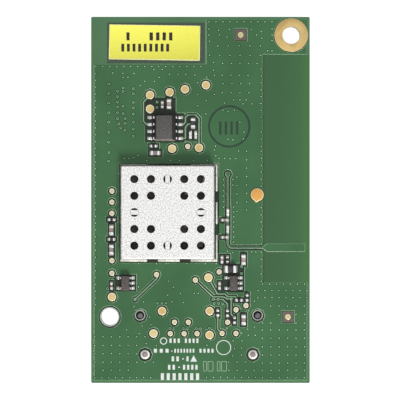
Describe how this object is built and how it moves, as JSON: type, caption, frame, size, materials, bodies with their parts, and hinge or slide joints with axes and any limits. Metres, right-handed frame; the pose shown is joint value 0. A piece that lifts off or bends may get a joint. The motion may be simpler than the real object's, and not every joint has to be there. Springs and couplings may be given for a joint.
{
  "type": "wifi module",
  "caption": "Populated wireless circuit board with a pierced shield can, aerial strip, test pads, two screw holes and an edge connector on its back.",
  "frame": {"origin": "centre of the board's back face", "axes": "+Y along the long side towards the label, +X towards the aerial side, +Z out of the face that carries the chips"},
  "size_m": [0.04, 0.067, 0.0087],
  "materials": {
    "green_laminate": "solder mask over glass laminate, satin",
    "masked_copper": "copper under solder mask, satin",
    "gold_plating": "thin gold over nickel, satin",
    "gold_contacts": "gold plated strip, bright",
    "orange_paint": "dried paint drop",
    "yellow_label": "coated paper, matt",
    "tinned_steel": "tinned sheet, fine grain",
    "solder": "solder, bright with soft edges",
    "tinned_leads": "tin plated",
    "mould_compound": "dark grey moulding compound, fine grain",
    "black_housing": "glass filled plastic, matt",
    "black_resistor": "dark glaze with tinned ends",
    "tan_ceramic": "fired ceramic with tinned ends",
    "grey_ferrite": "fired ferrite with tinned ends",
    "white_ceramic": "fired ceramic",
    "crystal_lid": "nickel lid"
  },
  "bodies": {
    "root": {"aerial_series_inductor_lower": "tan_ceramic", "aerial_series_inductor_upper": "tan_ceramic", "aerial_shunt_capacitor_lower": "tan_ceramic", "aerial_shunt_capacitor_upper": "tan_ceramic", "alignment_marks": "gold_plating", "antenna_feed": "masked_copper", "board": "green_laminate", "column_capacitor_lower": "tan_ceramic", "column_capacitor_upper": "tan_ceramic", "column_resistor_lower": "black_resistor", "column_resistor_upper": "black_resistor", "connector_contacts": "gold_contacts", "connector_housing": "black_housing", "connector_posts": "tinned_leads", "crystal": "crystal_lid", "flash_bypass_capacitor": "tan_ceramic", "flash_pullup_resistor_left": "black_resistor", "flash_pullup_resistor_right": "black_resistor", "flash_series_resistor": "black_resistor", "flash_supply_bead": "grey_ferrite", "ground_pour": "masked_copper", "inspection_dot": "orange_paint", "interface_bulk_capacitor": "tan_ceramic", "interface_pullup_resistor": "black_resistor", "interface_resistor_left": "black_resistor", "interface_resistor_middle": "black_resistor", "interface_resistor_right": "black_resistor", "interface_resistor_upper": "black_resistor", "label": "yellow_label", "large_test_pads": "gold_plating", "left_regulator": "mould_compound", "left_regulator_leads": "tinned_leads", "left_regulator_resistor": "black_resistor", "memory_chip": "mould_compound", "memory_chip_leads": "tinned_leads", "mounting_hole_ring": "gold_plating", "post_rings": "gold_plating", "post_solder": "solder", "power_inductor": "grey_ferrite", "radio_capacitors": "tan_ceramic", "radio_chip": "mould_compound", "rf_filter": "white_ceramic", "right_regulator": "mould_compound", "right_regulator_bypass_capacitor": "tan_ceramic", "right_regulator_enable_resistor": "black_resistor", "right_regulator_input_capacitor": "tan_ceramic", "right_regulator_leads": "tinned_leads", "right_regulator_output_capacitor": "tan_ceramic", "shield_can": "tinned_steel", "shield_solder": "solder", "signal_traces": "masked_copper", "small_test_pads": "gold_plating", "solder_joints": "solder", "supply_ferrite_bead": "grey_ferrite", "tail_solder": "solder", "upper_bulk_capacitor": "tan_ceramic", "upper_filter_capacitor": "tan_ceramic"}
  },
  "joints": []
}
